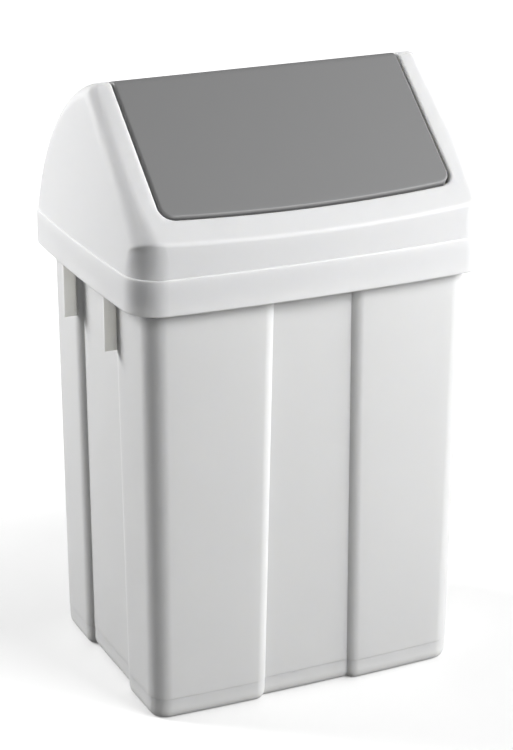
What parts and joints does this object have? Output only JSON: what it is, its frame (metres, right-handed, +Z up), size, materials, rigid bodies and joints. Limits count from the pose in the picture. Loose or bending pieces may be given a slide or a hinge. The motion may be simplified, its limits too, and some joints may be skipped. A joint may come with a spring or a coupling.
{
  "type": "swing_lid_waste_bin",
  "caption": "Tall tapered waste bin with recessed panels and a lift-off hood; its flap swings on pivot pins, so that rubbish can be pushed in and the bin closes by itself.",
  "frame": {"origin": "Middle of the bin on the floor, under the foot ring.", "axes": "X runs across the front, +X to the right of a person who faces the bin; -Y is the front, where the slope and the lower edge of the lid are; +Z is up."},
  "size_m": [0.34, 0.27, 0.5479],
  "materials": {
    "white_body": "moulded polypropylene with a soft sheen",
    "white_hood": "moulded polypropylene with a soft sheen",
    "grey_lid": "moulded polypropylene, low sheen",
    "grey_pin": "moulded acetal"
  },
  "bodies": {
    "body": {"bin_body": "white_body"},
    "hood": {"hood": "white_hood"},
    "lid": {"swing_lid": "grey_lid", "pivot_pin_left": "grey_pin", "pivot_pin_right": "grey_pin"}
  },
  "joints": [
    {"name": "hood_lift", "type": "slide", "parent": "body", "child": "hood", "axis": [0, 0, 1], "range_m": [0, 0.15]},
    {"name": "lid_swing", "type": "hinge", "parent": "hood", "child": "lid", "pos_m": [0, -0.02402, 0.51952], "axis": [1, 0, 0], "range_deg": [-70, 70]}
  ]
}
